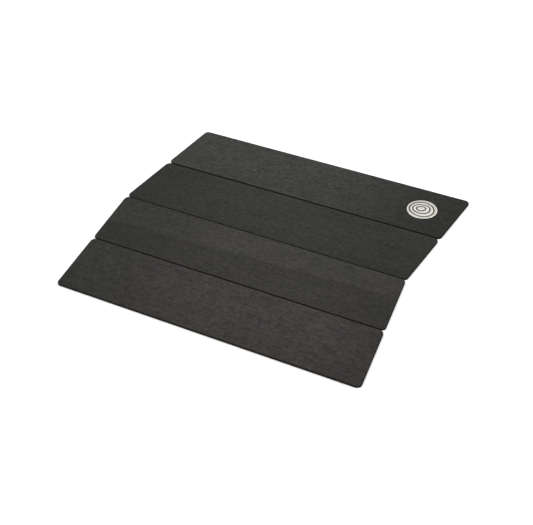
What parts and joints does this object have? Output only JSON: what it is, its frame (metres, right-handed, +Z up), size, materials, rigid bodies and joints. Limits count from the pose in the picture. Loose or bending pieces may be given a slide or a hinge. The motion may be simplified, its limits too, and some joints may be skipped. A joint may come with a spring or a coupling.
{
  "type": "snowboard stomp pad",
  "caption": "Thin stick-on foam traction pad of long parallel strips with slanted ends, peel-off liners below and a round metal badge in a pocket near one corner.",
  "frame": {"origin": "centre of the pad's footprint, on the resting plane under the release liners", "axes": "+X runs along the strips towards the end that the badge is near, which is the notched end of the shallow V outline. +Y runs across the strips towards strip 1, which carries the badge. +Z points up out of the grip surface."},
  "size_m": [0.3454, 0.3116, 0.0026],
  "materials": {
    "grip_foam": "sanded closed-cell EVA foam, matt with fine grain",
    "cushion_foam": "die-cut closed-cell EVA foam, matt",
    "adhesive_film": "clear pressure-sensitive adhesive film, dark over the foam, tacky sheen",
    "release_liner": "silicone-coated glassine paper, satin",
    "badge_metal": "satin nickel-plated die casting with dark patina in the grooves"
  },
  "bodies": {
    "strip_1": {"strip_1_grip_layer": "grip_foam", "strip_1_cushion_layer": "cushion_foam", "strip_1_adhesive": "adhesive_film", "badge_disc": "badge_metal", "badge_tape": "adhesive_film"},
    "strip_2": {"strip_2_grip_layer": "grip_foam", "strip_2_cushion_layer": "cushion_foam", "strip_2_adhesive": "adhesive_film"},
    "strip_3": {"strip_3_grip_layer": "grip_foam", "strip_3_cushion_layer": "cushion_foam", "strip_3_adhesive": "adhesive_film"},
    "strip_4": {"strip_4_grip_layer": "grip_foam", "strip_4_cushion_layer": "cushion_foam", "strip_4_adhesive": "adhesive_film"},
    "liner_1": {"strip_1_liner": "release_liner"},
    "liner_2": {"strip_2_liner": "release_liner"},
    "liner_3": {"strip_3_liner": "release_liner"},
    "liner_4": {"strip_4_liner": "release_liner"}
  },
  "joints": [
    {"name": "strip_2_spacing", "type": "slide", "parent": "strip_1", "child": "strip_2", "axis": [0, -1, 0], "range_m": [-0.0015, 0.025]},
    {"name": "strip_3_spacing", "type": "slide", "parent": "strip_2", "child": "strip_3", "axis": [0, -1, 0], "range_m": [-0.0007, 0.025]},
    {"name": "strip_4_spacing", "type": "slide", "parent": "strip_3", "child": "strip_4", "axis": [0, -1, 0], "range_m": [-0.0011, 0.025]},
    {"name": "liner_1_peel", "type": "slide", "parent": "strip_1", "child": "liner_1", "axis": [-1, 0, 0], "range_m": [0, 0.35]},
    {"name": "liner_2_peel", "type": "slide", "parent": "strip_2", "child": "liner_2", "axis": [-1, 0, 0], "range_m": [0, 0.35]},
    {"name": "liner_3_peel", "type": "slide", "parent": "strip_3", "child": "liner_3", "axis": [-1, 0, 0], "range_m": [0, 0.35]},
    {"name": "liner_4_peel", "type": "slide", "parent": "strip_4", "child": "liner_4", "axis": [-1, 0, 0], "range_m": [0, 0.35]}
  ]
}
